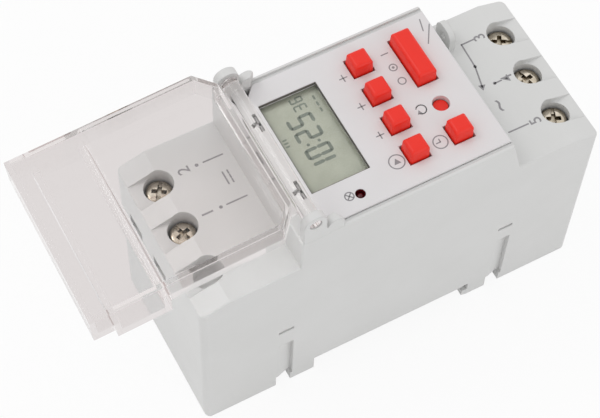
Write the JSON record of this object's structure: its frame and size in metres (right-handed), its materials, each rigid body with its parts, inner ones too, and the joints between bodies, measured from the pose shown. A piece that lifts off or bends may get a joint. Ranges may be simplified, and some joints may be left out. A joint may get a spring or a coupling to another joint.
{
  "type": "digital timer switch",
  "caption": "Programmable digital timer switch for a 35 mm rail, with display, red keys, screw terminals and a hinged clear cover.",
  "frame": {"origin": "centre of the back plane that the feet end in, under the middle of the rail slot", "axes": "+X along the body from the input end to the output end, +Y across it, +Z out from the rail to the front"},
  "size_m": [0.1067, 0.036, 0.0658],
  "materials": {
    "casing_grey": "fine matt moulded surface",
    "panel_white": "smooth satin moulded surface",
    "clear_plastic": "clear moulded acrylic, slightly warm",
    "clip_grey": "satin moulded surface",
    "spring_steel": "plain drawn",
    "lens_plastic": "polished clear lens",
    "display_glass": "grey-green display, dark segments",
    "white_plastic": "plain moulded",
    "black_rubber": "matt",
    "led_red": "dark red epoxy",
    "board_green": "solder resist",
    "plated_steel": "bright plated",
    "black_plastic": "plain moulded",
    "relay_black": "smooth moulded",
    "capacitor_yellow": "smooth potted box",
    "capacitor_sleeve": "shrink sleeve",
    "cell_steel": "plain can",
    "key_red": "satin moulded",
    "nickel_screw": "nickel plated, fine machining",
    "zinc_cage": "bright zinc plated",
    "brass_bar": "tinned brass"
  },
  "bodies": {
    "casing": {"housing": "casing_grey", "rear_cover": "casing_grey", "front_panel": "panel_white", "lcd_window": "lens_plastic", "lcd_glass": "display_glass", "lcd_reflector": "white_plastic", "contact_strips": "black_rubber", "status_led": "led_red", "logic_board": "board_green", "power_board": "board_green", "board_screws": "plated_steel", "tactile_switches": "black_plastic", "relay": "relay_black", "supply_capacitor": "capacitor_yellow", "smoothing_capacitor": "capacitor_sleeve", "link_ribbon": "white_plastic", "cell_holder": "black_plastic", "reserve_cell": "cell_steel", "microcontroller": "black_plastic", "crystal": "plated_steel", "busbar_1": "brass_bar", "busbar_2": "brass_bar", "busbar_3": "brass_bar", "busbar_4": "brass_bar", "busbar_5": "brass_bar"},
    "cover": {"clear_cover": "clear_plastic"},
    "clip": {"rail_clip": "clip_grey", "clip_spring": "spring_steel"},
    "minute_key": {"key_minute": "key_red", "plunger_minute": "black_plastic"},
    "hour_key": {"key_hour": "key_red", "plunger_hour": "black_plastic"},
    "day_key": {"key_day": "key_red", "plunger_day": "black_plastic"},
    "program_key": {"key_program": "key_red", "plunger_program": "black_plastic"},
    "clock_key": {"key_clock": "key_red", "plunger_clock": "black_plastic"},
    "manual_key": {"key_manual": "key_red", "plunger_manual": "black_plastic"},
    "reset_key": {"key_reset": "key_red", "plunger_reset": "black_plastic"},
    "screw_1": {"terminal_screw_1": "nickel_screw"},
    "cage_1": {"terminal_cage_1": "zinc_cage"},
    "screw_2": {"terminal_screw_2": "nickel_screw"},
    "cage_2": {"terminal_cage_2": "zinc_cage"},
    "screw_3": {"terminal_screw_3": "nickel_screw"},
    "cage_3": {"terminal_cage_3": "zinc_cage"},
    "screw_4": {"terminal_screw_4": "nickel_screw"},
    "cage_4": {"terminal_cage_4": "zinc_cage"},
    "screw_5": {"terminal_screw_5": "nickel_screw"},
    "cage_5": {"terminal_cage_5": "zinc_cage"}
  },
  "joints": [
    {"name": "cover_hinge", "type": "hinge", "parent": "casing", "child": "cover", "pos_m": [-0.0197, 0, 0.0612], "axis": [0, 1, 0], "range_deg": [0, 183.4]},
    {"name": "clip_slide", "type": "slide", "parent": "casing", "child": "clip", "axis": [-1, 0, 0], "range_m": [0, 0.003], "stiffness_N_per_m": 800, "springref_m": -0.0005, "deforming": ["clip_spring"]},
    {"name": "minute_press", "type": "slide", "parent": "casing", "child": "minute_key", "axis": [0, 0, -1], "range_m": [0, 0.0005], "stiffness_N_per_m": 400, "springref_m": -0.0005},
    {"name": "hour_press", "type": "slide", "parent": "casing", "child": "hour_key", "axis": [0, 0, -1], "range_m": [0, 0.0005], "stiffness_N_per_m": 400, "springref_m": -0.0005},
    {"name": "day_press", "type": "slide", "parent": "casing", "child": "day_key", "axis": [0, 0, -1], "range_m": [0, 0.0005], "stiffness_N_per_m": 400, "springref_m": -0.0005},
    {"name": "program_press", "type": "slide", "parent": "casing", "child": "program_key", "axis": [0, 0, -1], "range_m": [0, 0.0005], "stiffness_N_per_m": 400, "springref_m": -0.0005},
    {"name": "clock_press", "type": "slide", "parent": "casing", "child": "clock_key", "axis": [0, 0, -1], "range_m": [0, 0.0005], "stiffness_N_per_m": 400, "springref_m": -0.0005},
    {"name": "manual_press", "type": "slide", "parent": "casing", "child": "manual_key", "axis": [0, 0, -1], "range_m": [0, 0.0005], "stiffness_N_per_m": 400, "springref_m": -0.0005},
    {"name": "reset_press", "type": "slide", "parent": "casing", "child": "reset_key", "axis": [0, 0, -1], "range_m": [0, 0.0005], "stiffness_N_per_m": 400, "springref_m": -0.0005},
    {"name": "screw_1_turn", "type": "hinge", "parent": "casing", "child": "screw_1", "pos_m": [-0.03765, 0, 0.0418], "axis": [0, 0, -1], "range_deg": [0, 1080]},
    {"name": "cage_1_rise", "type": "slide", "parent": "casing", "child": "cage_1", "axis": [0, 0, 1], "range_m": [0, 0.0021]},
    {"name": "screw_2_turn", "type": "hinge", "parent": "casing", "child": "screw_2", "pos_m": [-0.03765, 0.0102, 0.0418], "axis": [0, 0, -1], "range_deg": [0, 1080]},
    {"name": "cage_2_rise", "type": "slide", "parent": "casing", "child": "cage_2", "axis": [0, 0, 1], "range_m": [0, 0.0021]},
    {"name": "screw_3_turn", "type": "hinge", "parent": "casing", "child": "screw_3", "pos_m": [0.03765, 0.0102, 0.0418], "axis": [0, 0, -1], "range_deg": [0, 1080]},
    {"name": "cage_3_rise", "type": "slide", "parent": "casing", "child": "cage_3", "axis": [0, 0, 1], "range_m": [0, 0.0021]},
    {"name": "screw_4_turn", "type": "hinge", "parent": "casing", "child": "screw_4", "pos_m": [0.03765, 0, 0.0418], "axis": [0, 0, -1], "range_deg": [0, 1080]},
    {"name": "cage_4_rise", "type": "slide", "parent": "casing", "child": "cage_4", "axis": [0, 0, 1], "range_m": [0, 0.0021]},
    {"name": "screw_5_turn", "type": "hinge", "parent": "casing", "child": "screw_5", "pos_m": [0.03765, -0.0102, 0.0418], "axis": [0, 0, -1], "range_deg": [0, 1080]},
    {"name": "cage_5_rise", "type": "slide", "parent": "casing", "child": "cage_5", "axis": [0, 0, 1], "range_m": [0, 0.0021]}
  ],
  "couplings": [
    {"joint": "screw_1_turn", "follows": "cage_1_rise", "rad_per_m": 8975.9},
    {"joint": "screw_2_turn", "follows": "cage_2_rise", "rad_per_m": 8975.9},
    {"joint": "screw_3_turn", "follows": "cage_3_rise", "rad_per_m": 8975.9},
    {"joint": "screw_4_turn", "follows": "cage_4_rise", "rad_per_m": 8975.9},
    {"joint": "screw_5_turn", "follows": "cage_5_rise", "rad_per_m": 8975.9}
  ]
}
